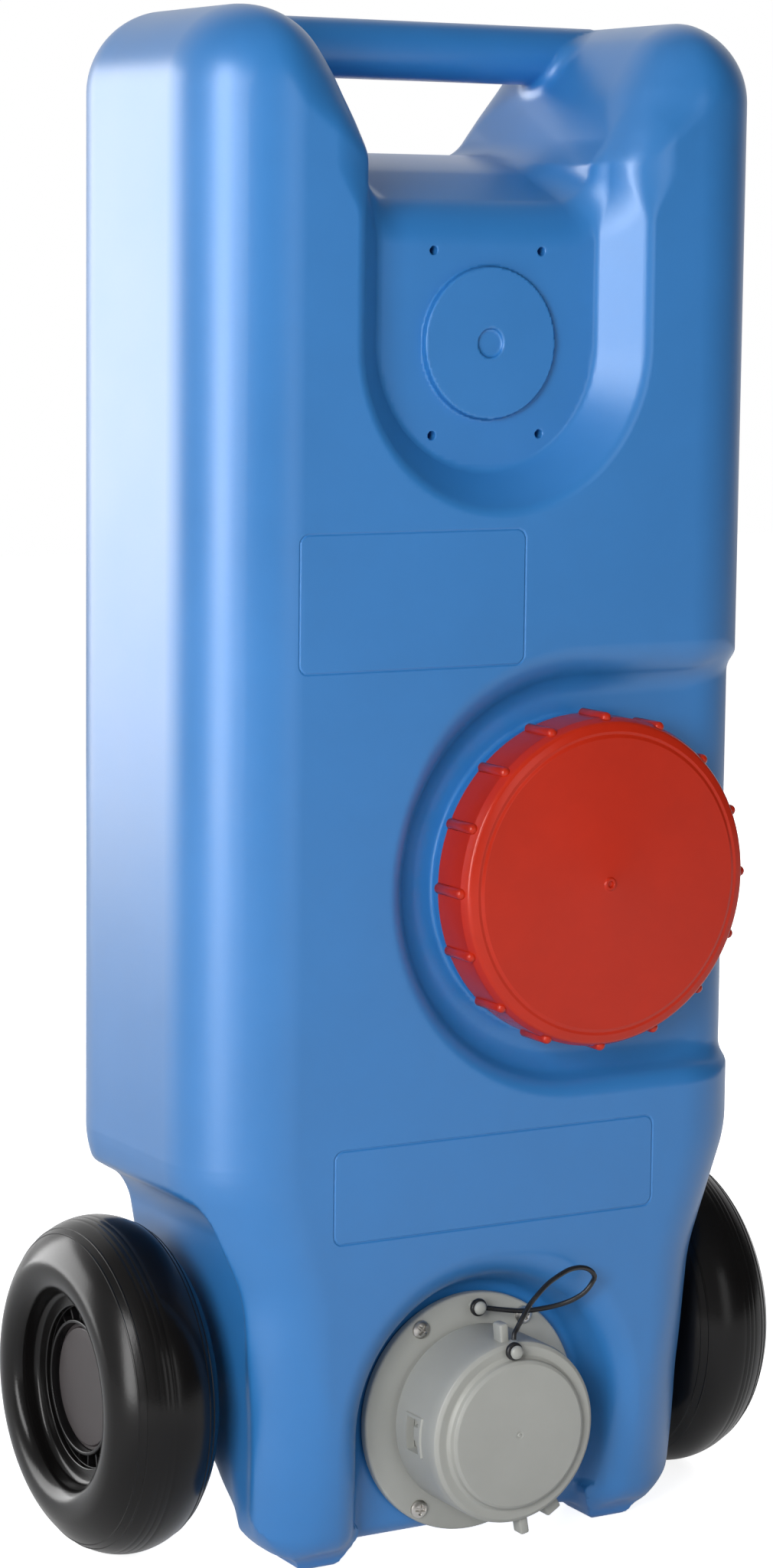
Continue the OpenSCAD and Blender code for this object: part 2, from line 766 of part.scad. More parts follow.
tank_shell();
filler_cap();
filler_cap_seal();
outlet_flange();
outlet_gasket();
outlet_screws();
outlet_cap();
outlet_cap_seal();
outlet_strap();
strap_flange_eye();
strap_cap_eye();
axle();
spacer(-1);  // left_spacer
spacer(1);  // right_spacer
inner_washer(-1);  // left_inner_washer
inner_washer(1);  // right_inner_washer
outer_washer(-1);  // left_outer_washer
outer_washer(1);  // right_outer_washer
push_nut(-1);  // left_push_nut
push_nut(1);  // right_push_nut
tyre(-1);  // left_tyre
tyre(1);  // right_tyre
hub(-1);  // left_hub
hub(1);  // right_hub
bush(-1);  // left_bush
bush(1);  // right_bush
hub_cap(-1);  // left_hub_cap
hub_cap(1);  // right_hub_cap
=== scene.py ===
import json
import math

import bmesh
import bpy
import numpy as np
from mathutils import Matrix, Vector


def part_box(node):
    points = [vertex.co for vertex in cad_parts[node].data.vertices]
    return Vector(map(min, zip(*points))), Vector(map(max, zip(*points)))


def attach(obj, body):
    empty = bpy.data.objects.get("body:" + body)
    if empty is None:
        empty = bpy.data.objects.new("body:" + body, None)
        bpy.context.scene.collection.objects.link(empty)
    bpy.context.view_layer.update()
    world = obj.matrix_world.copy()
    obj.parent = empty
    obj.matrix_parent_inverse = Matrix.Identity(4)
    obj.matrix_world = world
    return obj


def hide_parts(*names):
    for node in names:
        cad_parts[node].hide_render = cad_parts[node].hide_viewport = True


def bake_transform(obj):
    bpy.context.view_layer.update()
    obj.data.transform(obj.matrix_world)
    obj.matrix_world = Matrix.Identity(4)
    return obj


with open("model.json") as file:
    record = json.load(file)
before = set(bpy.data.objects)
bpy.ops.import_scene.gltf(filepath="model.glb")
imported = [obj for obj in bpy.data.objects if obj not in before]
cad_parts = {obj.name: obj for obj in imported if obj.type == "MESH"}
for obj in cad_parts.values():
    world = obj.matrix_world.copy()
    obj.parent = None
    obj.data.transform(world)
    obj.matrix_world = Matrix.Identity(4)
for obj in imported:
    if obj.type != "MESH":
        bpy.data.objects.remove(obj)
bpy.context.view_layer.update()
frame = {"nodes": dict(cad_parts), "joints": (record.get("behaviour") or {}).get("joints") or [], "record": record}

tank_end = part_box("tank_shell")[1]
joint_place = {joint["name"]: joint["pos_m"] for joint in frame["joints"] if "pos_m" in joint}

# Lengths are millimetres, with depth counted back from the front face of the tank
FRONT_FACE = -1000 * joint_place["filler_cap_turn"][1]
HALF_WIDTH = 1000 * tank_end.x
DEPTH = 1000 * tank_end.y + FRONT_FACE
HEIGHT = 1000 * tank_end.z
OUTLET_Z = 1000 * joint_place["outlet_cap_turn"][2]
WHEEL_X = 1000 * joint_place["right_wheel_roll"][0]
WHEEL_DEPTH = 1000 * joint_place["right_wheel_roll"][1] + FRONT_FACE
WHEEL_Z = 1000 * joint_place["right_wheel_roll"][2]

# Body: at three heights, half the width and the radius of the front edges
WAIST_HEIGHTS = (80, 143, 203)
WAIST_HALF_WIDTHS = (127, 137, HALF_WIDTH)
FRONT_EDGE_RADII = (34, 42, 50)
REAR_EDGE_R = 45.0
TOP_EDGE_R = 41.0

# Underside: planes given by a point's depth and height, the outward normal and that normal's length
BASE_Z = 8.0
HEEL = (54, BASE_Z, 50, -26, 56.4)
REAR_CHAMFER = (142, 62, 1, -1, math.sqrt(2))
FRONT_CHAMFER = (10, BASE_Z, -80, -22, 83.0)
BELLY_Z = 58.0
BELLY_DEPTH = 80.0
BELLY_RISE = 4 / 62

# Wheel wells: half the width between them, the depth where they start and the roof's inner height
WELL_X = 125.0
WELL_DEPTH = 26.0
WELL_ROOF_Z = 176.0
WELL_ROOF_RISE = 0.574
WELL_ROOF_COS = 0.867

# Hand hole and carrying bar
SILL_Z = 707.0
HOLE_HALF = 65.0
HOLE_LEAN = math.radians(23)
BAR_DEPTH = 115.0
BAR_Z = 758.5
BAR_R = 15.0
BAR_HALF = 118.0

# Front recess: each sloping wall has its taper and the cosine that turns it into a distance
RECESS_Z = 613.0
RECESS_R = 82.07
RECESS_DEPTH = 20.5
RECESS_TAPER = 0.93
RECESS_COS = 0.732
SLOPE_Z = 677.0
SLOPE_RISE = 30 / 76.5
SLOPE_COS = 0.931
FUNNEL_HALF = 64.5
FUNNEL_Z = 702.0
FUNNEL_TAPER = 0.4245
BOSS_R = 37.5
BOSS_DEPTH = 16.5
DIMPLE_R = 7.0
DIMPLE_DEPTH = 18.4
RECESS_HOLE_X = 31.0
RECESS_HOLE_Z = 45.0
RECESS_HOLE_R = 2.1
RECESS_HOLE_DEPTH = 30.5

# Filler: middle x and z, the pocket round it, the seat and the neck's bore
FILLER = (49.0, 346.0)
POCKET_R = 108.0
POCKET_DEPTH = 14.0
POCKET_TAPER = 0.667
POCKET_COS = 0.832
POCKET_SIDE_X = 160.5
SEAT_R = 81.0
SEAT_DEPTH = 6.0
NECK_BORE = 68.5

# Outlet: its bore, the arch round it, its flange and the screws in that
OUTLET_R = 37.0
ARCH_R = 80.0
ARCH_DEPTH = 28.5
ARCH_TAPER = 14 / 29.5
ARCH_COS = 0.903
FLANGE_FACE = -22.0
OUTLET_SCREWS = (57, 123, 237, 303)
OUTLET_SCREW_R = 56.0

# Feet, and the middle x and z, half width and half height of each bare panel
FOOT_X = 87.0
FOOT_DEPTH = 37.5
FOOT_HALF_W = 11.0
FOOT_HALF_D = 13.5
PANELS = ((-52.0, 489.0, 63.5, 33.5), (0.0, 196.0, 93.5, 23.5))
PANEL_CORNER = 5.0
PANEL_LINE = 0.55


def round_max(a, b, r):
    """Solid where both fields are solid, with the outer edge rounded to r."""
    return np.minimum(-r, np.maximum(a, b)) + np.hypot(np.maximum(a + r, 0), np.maximum(b + r, 0))


def round_union(a, b, r):
    """Solid where either field is solid, with the inner corner filled to r."""
    return np.maximum(r, np.minimum(a, b)) - np.hypot(np.maximum(r - a, 0), np.maximum(r - b, 0))


def step(lo, hi, v):
    """Smooth rise from 0 at lo to 1 at hi."""
    t = np.clip((v - lo) / (hi - lo), 0, 1)
    return t * t * (3 - 2 * t)


def smooth_table(heights, values, v, reach):
    """Table value, averaged over a short reach so that its bends are round."""
    shifts = np.linspace(-reach, reach, 7)
    return sum(np.interp(v + s, heights, values) for s in shifts) / len(shifts)


def plane(y, z, depth, height, along, up, length):
    """Signed distance to a plane that runs straight across the tank."""
    return ((y - depth) * along + (z - height) * up) / length


def outer_body(x, y, z):
    """Rounded body with its waist, top edges, stepped underside and wheel wells."""
    ax = np.abs(x)
    side = ax - smooth_table(WAIST_HEIGHTS, WAIST_HALF_WIDTHS, z, 9)
    front_r = smooth_table(WAIST_HEIGHTS, FRONT_EDGE_RADII, z, 12)
    plan = np.maximum(round_max(side, -y, front_r), round_max(side, y - DEPTH, REAR_EDGE_R))
    body = round_max(plan, z - HEIGHT, TOP_EDGE_R)
    belly = BELLY_Z + (y - BELLY_DEPTH) * BELLY_RISE - z
    under = round_max(BASE_Z - z, round_union(plane(y, z, *HEEL), belly, 14.0), 12.0)
    under = round_max(under, plane(y, z, *REAR_CHAMFER), 20.0)
    under = round_max(under, plane(y, z, *FRONT_CHAMFER), 14.0)
    body = round_max(body, under, 12 + 18 * step(88, 122, ax) * step(75, 50, y))
    roof = WELL_ROOF_Z + WELL_ROOF_RISE * (ax - WELL_X)
    beside_well = round_union(ax - WELL_X, (roof - z) * WELL_ROOF_COS, 10.0)
    beside_well = round_union(beside_well, y - WELL_DEPTH, 8.0)
    return round_max(body, beside_well, 2 + 4 * step(190, 150, z))


def with_hand_hole(x, y, z, tank):
    """Hand hole between two round towers."""
    ax = np.abs(x)
    end_wall = (ax - HOLE_HALF - math.tan(HOLE_LEAN) * (z - SILL_Z)) * math.cos(HOLE_LEAN)
    hole = round_max(end_wall, SILL_Z - z, 8.0)
    front_rim_r = 17 + 27 * step(692, 738, z) - 10 * step(742, 770, z)
    rear_rim_r = 11 + 23 * step(700, 745, z)
    rim_r = front_rim_r + (rear_rim_r - front_rim_r) * step(70, 110, y)
    return round_max(tank, -hole, rim_r)


def with_front_recess(x, y, z, tank):
    """Sunk place with sloping walls, the slope from it up to the hand hole, and the bar over that."""
    ax = np.abs(x)
    rho = np.hypot(ax, np.minimum(z - RECESS_Z, 0))
    wall = (rho - (RECESS_R - RECESS_TAPER * y)) * RECESS_COS
    recess = round_max(wall, y - RECESS_DEPTH, 1.4)
    slope = (SLOPE_Z + (y - RECESS_DEPTH) * SLOPE_RISE - z) * SLOPE_COS
    funnel = round_max(ax - FUNNEL_HALF - FUNNEL_TAPER * np.maximum(z - FUNNEL_Z, 0), slope, 16.0)
    rim_r = 2.4 + 9 * step(672, 700, z)
    tank = round_max(tank, -round_union(recess, funnel, 16.0), rim_r)
    bar = np.maximum(np.hypot(y - BAR_DEPTH, z - BAR_Z) - BAR_R, ax - BAR_HALF)
    bar_fillet_r = 0.5 + 9 * step(773, 762, z)
    return round_union(tank, bar, bar_fillet_r)


def with_filler_pocket(x, y, z, tank):
    """Sunk place for the filler cap, which runs out over the right edge, and its seat."""
    rho = np.hypot(np.minimum(x - FILLER[0], 0), z - FILLER[1])
    reach = POCKET_R + np.clip(tank - 1, -15, 0) * POCKET_TAPER
    sunk = round_max(x - POCKET_SIDE_X - 2 * step(40, 70, y), POCKET_DEPTH - y, 36.0)
    keep = round_union((reach - rho) * POCKET_COS, sunk, 6.0)
    upward = (z - FILLER[1]) / np.maximum(rho, 1)
    rim_r = 0.2 + (4.6 + 4 * step(0.3, 0.9, upward)) * step(2, 11, sunk - tank)
    tank = round_max(tank, keep, rim_r)
    seat_rho = np.hypot(x - FILLER[0], z - FILLER[1])
    seat = np.maximum(round_max(seat_rho - SEAT_R, SEAT_DEPTH - y, 1.0), y - 60)
    tank = round_union(tank, seat, 2.0)
    return np.maximum(tank, -np.maximum(seat_rho - NECK_BORE, y - 120))


def with_recess_details(x, y, z, tank):
    """Boss, dimple and four screw holes in the floor of the front recess."""
    rho = np.hypot(x, z - RECESS_Z)
    boss = np.maximum(round_max(rho - BOSS_R, BOSS_DEPTH - y, 0.9), y - 45)
    tank = round_union(tank, boss, 0.8)
    tank = round_max(tank, -round_max(rho - DIMPLE_R, y - DIMPLE_DEPTH, 1.0), 1.0)
    hole = np.hypot(np.abs(x) - RECESS_HOLE_X, np.abs(z - RECESS_Z) - RECESS_HOLE_Z) - RECESS_HOLE_R
    return round_max(tank, -np.maximum(hole, y - RECESS_HOLE_DEPTH), 0.5)


def with_outlet_arch(x, y, z, tank):
    """Arch for the outlet, open at the bottom, and the outlet's bore."""
    rho = np.hypot(x, np.maximum(z - OUTLET_Z, 0))
    wall = (rho - (ARCH_R - (y + 1) * ARCH_TAPER)) * ARCH_COS
    tank = round_max(tank, -round_max(wall, y - ARCH_DEPTH, 5.0), 10.0)
    bore = np.hypot(x, z - OUTLET_Z) - OUTLET_R
    return np.maximum(tank, -np.maximum(bore, y - 58))


def with_panel_lines(x, y, z, tank):
    """Thin grooves that frame the two bare panels on the front."""
    for cx, cz, half_w, half_h in PANELS:
        u = np.abs(x - cx) - half_w + PANEL_CORNER
        v = np.abs(z - cz) - half_h + PANEL_CORNER
        outside = np.hypot(np.maximum(u, 0), np.maximum(v, 0))
        outline = outside + np.minimum(np.maximum(u, v), 0) - PANEL_CORNER
        tank = np.maximum(tank, (PANEL_LINE - 0.73 * np.abs(outline) - y) * 0.8)
    return tank


def with_feet(x, y, z, tank):
    """Two feet under the front of the tank."""
    rise = np.clip(z, 0, 16)
    across = np.abs(np.abs(x) - FOOT_X) - FOOT_HALF_W - rise * 0.5
    along = np.abs(y - FOOT_DEPTH) - FOOT_HALF_D - rise * 0.4
    foot = np.maximum(across, along)
    foot = np.maximum(round_max(foot, -z, 3.0), z - 20)
    return round_union(tank, foot, 4.0)


def tank_field(x, y, z):
    """Signed distance to the tank, negative inside, in millimetres."""
    tank = outer_body(x, y, z)
    tank = with_hand_hole(x, y, z, tank)
    tank = with_front_recess(x, y, z, tank)
    tank = with_filler_pocket(x, y, z, tank)
    tank = with_recess_details(x, y, z, tank)
    tank = with_outlet_arch(x, y, z, tank)
    tank = with_feet(x, y, z, tank)
    return with_panel_lines(x, y, z, tank)


def grid_line(lo, hi, base, fine):
    """Grid positions from lo to hi, with finer steps inside the given bands."""
    points = [lo]
    while points[-1] < hi:
        here = points[-1]
        size = min([base] + [s for a, b, s in fine if a <= here < b])
        ahead = [a for a, b, s in fine if here < a < here + size]
        points.append(min(ahead) if ahead and min(ahead) - here > 0.2 else here + size)
    return np.array(points)


def sampled(field, xs, ys, zs, slab=16):
    """Field values on a grid of uneven steps, worked out slab by slab."""
    values = np.empty((len(xs), len(ys), len(zs)), np.float32)
    for i in range(0, len(xs), slab):
        gx, gy, gz = np.meshgrid(xs[i:i + slab], ys, zs, indexing="ij")
        values[i:i + slab] = field(gx, gy, gz)
    return values


def cut_cells(inside):
    """Places of the grid cells that the surface passes through."""
    nx, ny, nz = (n - 1 for n in inside.shape)
    counts = np.zeros((nx, ny, nz), np.uint8)
    for dx in (0, 1):
        for dy in (0, 1):
            for dz in (0, 1):
                counts += inside[dx:dx + nx, dy:dy + ny, dz:dz + nz]
    return np.nonzero((counts > 0) & (counts < 8))


def shifted(place, axis, p, q):
    """Grid places moved by p and q along the two axes other than the given one."""
    first, second = [a for a in range(3) if a != axis]
    out = list(place)
    out[first] = out[first] + p
    out[second] = out[second] + q
    return out


def net_points(values, cells, lines):
    """For each cut cell, the mean of the points where the surface cuts its edges."""
    total = np.zeros((len(cells[0]), 3))
    hits = np.zeros(len(cells[0]))
    for axis in range(3):
        for p in (0, 1):
            for q in (0, 1):
                low = shifted(cells, axis, p, q)
                high = list(low)
                high[axis] = high[axis] + 1
                a = values[tuple(low)].astype(float)
                b = values[tuple(high)].astype(float)
                cut = (a < 0) != (b < 0)
                t = np.where(cut, a / np.where(cut, a - b, 1), 0)
                point = np.stack([lines[n][low[n]] for n in range(3)], 1)
                point[:, axis] += t * (lines[axis][high[axis]] - lines[axis][low[axis]])
                total += point * cut[:, None]
                hits += cut
    return total / hits[:, None]


def net_quads(inside, index):
    """One outward quad round each grid edge that the surface cuts."""
    quads = []
    for axis in range(3):
        first = np.take(inside, range(inside.shape[axis] - 1), axis)
        second = np.take(inside, range(1, inside.shape[axis]), axis)
        place = np.nonzero(first != second)
        corners = []
        for p, q in ((1, 1), (0, 1), (0, 0), (1, 0)):
            corners.append(index[tuple(shifted(place, axis, -p, -q))])
        quad = np.stack(corners, 1)
        leaves = first[place]
        turn = leaves if axis == 1 else ~leaves
        quad[turn] = quad[turn][:, ::-1]
        quads.append(quad)
    return np.concatenate(quads)


def surface_net(field, xs, ys, zs):
    """Points and quads on the zero surface of a field."""
    values = sampled(field, xs, ys, zs)
    inside = values < 0
    cells = cut_cells(inside)
    index = np.full([n - 1 for n in inside.shape], -1, np.int64)
    index[cells] = np.arange(len(cells[0]))
    return net_points(values, cells, (xs, ys, zs)), net_quads(inside, index)


def slope_of(field, p, h=0.05):
    """Gradient of a field by central differences."""
    out = np.empty_like(p)
    for axis in range(3):
        shift = np.zeros(3)
        shift[axis] = h
        ahead = p + shift
        behind = p - shift
        out[:, axis] = (field(*ahead.T) - field(*behind.T)) / (2 * h)
    return out


def settle(field, verts, quads, rounds, share=0.5, longest=1.5):
    """Even out a surface net and put its points exactly on the surface."""
    ends = np.concatenate([quads[:, [0, 1]], quads[:, [1, 2]], quads[:, [2, 3]], quads[:, [3, 0]]])
    tail, head = ends.T
    count = len(verts)
    degree = np.bincount(tail, minlength=count) + np.bincount(head, minlength=count)
    for _ in range(rounds):
        mean = np.empty_like(verts)
        for axis in range(3):
            near = np.bincount(tail, verts[head, axis], count) + np.bincount(head, verts[tail, axis], count)
            mean[:, axis] = near / degree
        verts = verts + share * (mean - verts)
        for _ in range(2):
            g = slope_of(field, verts)
            steepness = np.maximum((g * g).sum(1), 0.05)
            move = np.clip(field(*verts.T) / steepness, -longest, longest)
            verts = verts - move[:, None] * g
    return verts


def at(x, depth, z):
    """Point of the shared frame, in metres."""
    return (x / 1000, (depth - FRONT_FACE) / 1000, z / 1000)


def filler_axis(u, v, out):
    """Point beside the filler's axis: right, up and out of the front."""
    return at(FILLER[0] + u, -out, FILLER[1] + v)


def outlet_axis(u, v, out):
    """Point beside the outlet's axis: right, up and out of the front."""
    return at(u, -out, OUTLET_Z + v)


def wheel_axis(hand):
    """Place maker for one wheel: along, up and outwards from its middle."""
    return lambda u, v, out: at(hand * (WHEEL_X + out), WHEEL_DEPTH + u, WHEEL_Z + v)


def linear(r, g, b):
    """Shader colour for a screen colour of 0 to 255."""
    out = []
    for value in (r, g, b):
        share = value / 255
        out.append(share / 12.92 if share <= 0.04045 else ((share + 0.055) / 1.055) ** 2.4)
    return (*out, 1.0)


def scaled(colour, by):
    """Colour made lighter or darker."""
    return tuple(min(1.0, c * by) for c in colour[:3]) + (1.0,)


def add_node(tree, kind, **settings):
    """New shader node with its inputs set by name."""
    node = tree.nodes.new(kind)
    for name, value in settings.items():
        node.inputs[name].default_value = value
    return node


ROUGH_SPREAD = 0.05


def finish_of(name, colour, rough, specular=0.5, metal=0.0, patch=0.06, patch_scale=14.0,
              grain=0.05, grain_scale=900.0, wave=0.0, wave_scale=22.0):
    """Procedural finish: faint patches of colour, uneven gloss, fine grain and slow waviness."""
    material = bpy.data.materials.new(name)
    material.use_nodes = True
    tree = material.node_tree
    shader = tree.nodes["Principled BSDF"]
    shader.inputs["Metallic"].default_value = metal
    shader.inputs["Specular IOR Level"].default_value = specular
    place = tree.nodes.new("ShaderNodeTexCoord").outputs["Object"]
    cloud = add_node(tree, "ShaderNodeTexNoise", Scale=patch_scale, Detail=5.0, Roughness=0.6)
    tree.links.new(place, cloud.inputs["Vector"])
    ramp = tree.nodes.new("ShaderNodeValToRGB")
    ramp.color_ramp.elements[0].position = 0.3
    ramp.color_ramp.elements[0].color = scaled(colour, 1 - patch)
    ramp.color_ramp.elements[1].position = 0.7
    ramp.color_ramp.elements[1].color = scaled(colour, 1 + patch)
    tree.links.new(cloud.outputs["Fac"], ramp.inputs["Fac"])
    tree.links.new(ramp.outputs["Color"], shader.inputs["Base Color"])
    gloss = tree.nodes.new("ShaderNodeMapRange")
    gloss.inputs["To Min"].default_value = rough - ROUGH_SPREAD
    gloss.inputs["To Max"].default_value = rough + ROUGH_SPREAD
    tree.links.new(cloud.outputs["Fac"], gloss.inputs["Value"])
    tree.links.new(gloss.outputs["Result"], shader.inputs["Roughness"])
    fine = add_node(tree, "ShaderNodeTexNoise", Scale=grain_scale, Detail=3.0)
    tree.links.new(place, fine.inputs["Vector"])
    bump = add_node(tree, "ShaderNodeBump", Strength=grain, Distance=0.0004)
    tree.links.new(fine.outputs["Fac"], bump.inputs["Height"])
    if wave:
        slow = add_node(tree, "ShaderNodeTexNoise", Scale=wave_scale, Detail=1.0)
        tree.links.new(place, slow.inputs["Vector"])
        swell = add_node(tree, "ShaderNodeBump", Strength=wave, Distance=0.004)
        tree.links.new(slow.outputs["Fac"], swell.inputs["Height"])
        tree.links.new(swell.outputs["Normal"], bump.inputs["Normal"])
    tree.links.new(bump.outputs["Normal"], shader.inputs["Normal"])
    return material


TANK_BLUE = finish_of("tank_blue", linear(46, 119, 186), 0.34, 0.85, patch=0.05, patch_scale=9.0,
                      grain=0.06, grain_scale=1500.0, wave=0.05, wave_scale=16.0)
CAP_RED = finish_of("cap_red", linear(182, 40, 18), 0.22, 0.35, patch=0.07, patch_scale=18.0, grain=0.06)
OUTLET_GREY = finish_of("outlet_grey", linear(164, 165, 160), 0.42, 0.45, patch=0.05, patch_scale=20.0)
STRAP_BLACK = finish_of("strap_black", linear(30, 30, 32), 0.28, 0.5, patch=0.15, patch_scale=60.0)
TYRE_BLACK = finish_of("tyre_black", linear(15, 14, 14), 0.22, 0.3, patch=0.14, patch_scale=22.0,
                       grain=0.08, wave=0.04, wave_scale=30.0)
HUB_BLACK = finish_of("hub_black", linear(15, 14, 15), 0.28, 0.3, patch=0.12, patch_scale=30.0)
HUB_CAP_GREY = finish_of("hub_cap_grey", linear(66, 61, 62), 0.4, 0.3, patch=0.1, patch_scale=40.0)
SCREW_STEEL = finish_of("screw_steel", linear(214, 210, 204), 0.34, 0.5, metal=1.0, patch=0.15,
                        patch_scale=180.0, grain=0.1)
AXLE_STEEL = finish_of("axle_steel", linear(172, 172, 170), 0.34, 0.5, metal=1.0, patch=0.1,
                       patch_scale=50.0)
SEAL_RUBBER = finish_of("seal_rubber", linear(40, 40, 40), 0.6, 0.35, patch=0.12, patch_scale=60.0)
BUSH_NYLON = finish_of("bush_nylon", linear(225, 222, 212), 0.45, 0.45, patch=0.04, patch_scale=60.0)

SLOT_FINISH = {
    "tank_blue": TANK_BLUE,
    "cap_red": CAP_RED,
    "outlet_grey": OUTLET_GREY,
    "seal_rubber": SEAL_RUBBER,
    "screw_steel": SCREW_STEEL,
    "strap_black": STRAP_BLACK,
    "axle_steel": AXLE_STEEL,
    "bush_nylon": BUSH_NYLON,
    "tyre_black": TYRE_BLACK,
    "hub_black": HUB_BLACK,
    "hub_cap_grey": HUB_CAP_GREY,
}


def piece(name, shapes, slot, body, stands_for=(), angle=38.0):
    """One object of several shapes, finished by its slot and riding on a body."""
    verts = []
    faces = []
    for shape_verts, shape_faces in shapes:
        start = len(verts)
        verts.extend(shape_verts)
        faces.extend([tuple(i + start for i in face) for face in shape_faces])
    mesh = bpy.data.meshes.new(name)
    mesh.from_pydata(verts, [], faces)
    work = bmesh.new()
    work.from_mesh(mesh)
    bmesh.ops.recalc_face_normals(work, faces=work.faces)
    work.to_mesh(mesh)
    work.free()
    mesh.shade_smooth()
    mesh.set_sharp_from_angle(angle=math.radians(angle))
    mesh.materials.append(SLOT_FINISH[slot])
    obj = bpy.data.objects.new(name, mesh)
    bpy.context.scene.collection.objects.link(obj)
    if stands_for:
        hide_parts(*stands_for)
    if body:
        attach(obj, body)
    return obj


def rounded(points, steps=5):
    """Profile whose corners (r, h, radius) become arcs; the two ends stay as they are."""
    out = []
    for n, corner in enumerate(points):
        here = np.array(corner[:2], float)
        radius = corner[2] if len(corner) > 2 else 0.0
        before = np.array(points[n - 1][:2], float)
        after = np.array(points[(n + 1) % len(points)][:2], float)
        if not radius:
            out.append(tuple(here))
            continue
        a = (before - here) / np.linalg.norm(before - here)
        b = (after - here) / np.linalg.norm(after - here)
        half = math.acos(max(-1.0, min(1.0, float(a @ b)))) / 2
        room = 0.49 * min(np.linalg.norm(before - here), np.linalg.norm(after - here))
        reach = min(radius / math.tan(half), room)
        bend = reach * math.tan(half)
        middle = here + (a + b) / np.linalg.norm(a + b) * bend / math.sin(half)
        first = here + a * reach - middle
        last = here + b * reach - middle
        for t in np.linspace(0, 1, steps + 1):
            spoke = first * (1 - t) + last * t
            out.append(tuple(middle + spoke / np.linalg.norm(spoke) * bend))
    return out


def lathe(profile, angles, place, loop=False, warp=None, skip=None):
    """Surface of revolution over a profile of (r, h), with its ends on the axis or joined in a loop."""
    verts = []
    rows = []
    for r, h in profile:
        if r < 1e-6:
            rows.append([len(verts)] * len(angles))
            verts.append(place(0, 0, h))
            continue
        rows.append(list(range(len(verts), len(verts) + len(angles))))
        for angle in angles:
            wr, wh = warp(r, h, angle) if warp else (r, h)
            verts.append(place(wr * math.cos(angle), wr * math.sin(angle), wh))
    faces = []
    count = len(angles)
    pairs = list(zip(range(len(rows)), range(1, len(rows))))
    if loop:
        pairs.append((len(rows) - 1, 0))
    for a, b in pairs:
        for j in range(count):
            if skip and skip(a, j):
                continue
            k = (j + 1) % count
            face = []
            for index in (rows[a][j], rows[a][k], rows[b][k], rows[b][j]):
                if index not in face:
                    face.append(index)
            if len(face) > 2:
                faces.append(tuple(face))
    return verts, faces, rows


def turns(count):
    """Evenly spaced angles once round."""
    return [2 * math.pi * n / count for n in range(count)]


def ramp(value):
    """Value held between 0 and 1."""
    return max(0.0, min(1.0, value))


def from_level(degrees):
    """Angle to the nearer end of the horizontal line through an axis, in degrees."""
    return abs((degrees + 90) % 180 - 90)


def soft_box(size, place, bevel):
    """Box with rounded edges, whose local points go through a place maker."""
    work = bmesh.new()
    bmesh.ops.create_cube(work, size=1.0)
    bmesh.ops.scale(work, vec=size, verts=work.verts)
    bmesh.ops.bevel(work, geom=work.edges[:], offset=bevel, segments=3, affect="EDGES", profile=0.5)
    work.verts.index_update()
    verts = [place(*v.co) for v in work.verts]
    faces = [tuple(v.index for v in f.verts) for f in work.faces]
    work.free()
    return verts, faces


def radial(axis, angle, middle_r, middle_out):
    """Place maker for a block that stands out from an axis: along the radius, across it, outwards."""
    c = math.cos(math.radians(angle))
    s = math.sin(math.radians(angle))
    return lambda a, b, o: axis((middle_r + a) * c - b * s, (middle_r + a) * s + b * c, middle_out + o)


def beside(axis, angle, r, rise=0.0):
    """Place maker for a small lathe that stands beside an axis, raised outwards by some length."""
    u = r * math.cos(math.radians(angle))
    v = r * math.sin(math.radians(angle))
    return lambda a, b, o: axis(u + a, v + b, o + rise)


def smooth_path(points, steps):
    """Points of a smooth curve through the given ones."""
    knots = np.array(points, float)
    padded = np.vstack([2 * knots[0] - knots[1], knots, 2 * knots[-1] - knots[-2]])
    out = []
    for n in range(1, len(padded) - 2):
        p0, p1, p2, p3 = padded[n - 1:n + 3]
        for t in np.arange(steps) / steps:
            out.append(0.5 * (2 * p1 + (p2 - p0) * t + (2 * p0 - 5 * p1 + 4 * p2 - p3) * t * t
                              + (3 * p1 - p0 - 3 * p2 + p3) * t ** 3))
    out.append(knots[-1])
    return np.array(out)


def tube(path, radius, sides=14):
    """Closed round tube along a path of points."""
    verts = []
    faces = []
    tangents = np.gradient(path, axis=0)
    tangents /= np.linalg.norm(tangents, axis=1)[:, None]
    side = np.cross(tangents[0], (0.0, 0.0, 1.0))
    for p, t in zip(path, tangents):
        side = side - t * (side @ t)
        side /= np.linalg.norm(side)
        other = np.cross(t, side)
        for angle in turns(sides):
            verts.append(tuple(p + radius * (math.cos(angle) * side + math.sin(angle) * other)))
    for n in range(len(path) - 1):
        for j in range(sides):
            k = (j + 1) % sides
            faces.append((n * sides + j, n * sides + k, (n + 1) * sides + k, (n + 1) * sides + j))
    faces.append(tuple(range(sides)))
    faces.append(tuple(range((len(path) - 1) * sides, len(path) * sides)))
    return verts, faces


def make_camera():
    """Camera at the photograph's place."""
    azimuth = math.radians(-30.127)
    pitch = math.radians(7.692)
    roll = math.radians(0.61)
    level = math.cos(pitch)
    back = Vector((math.sin(azimuth) * level, -math.cos(azimuth) * level, math.sin(pitch)))
    side = (-back).cross(Vector((0, 0, 1))).normalized()
    up = side.cross(-back)
    right = side * math.cos(roll) + up * math.sin(roll)
    top = up * math.cos(roll) - side * math.sin(roll)
    aim = Vector(at(-66.605, 0, 400.206))
    distance = 1.906354
    data = bpy.data.cameras.new("camera")
    data.sensor_width = 36.0
    data.lens = 89.90
    camera = bpy.data.objects.new("camera", data)
    camera.matrix_world = Matrix((right, top, back)).transposed().to_4x4()
    camera.location = aim + back * distance
    bpy.context.scene.collection.objects.link(camera)
    bpy.context.scene.camera = camera


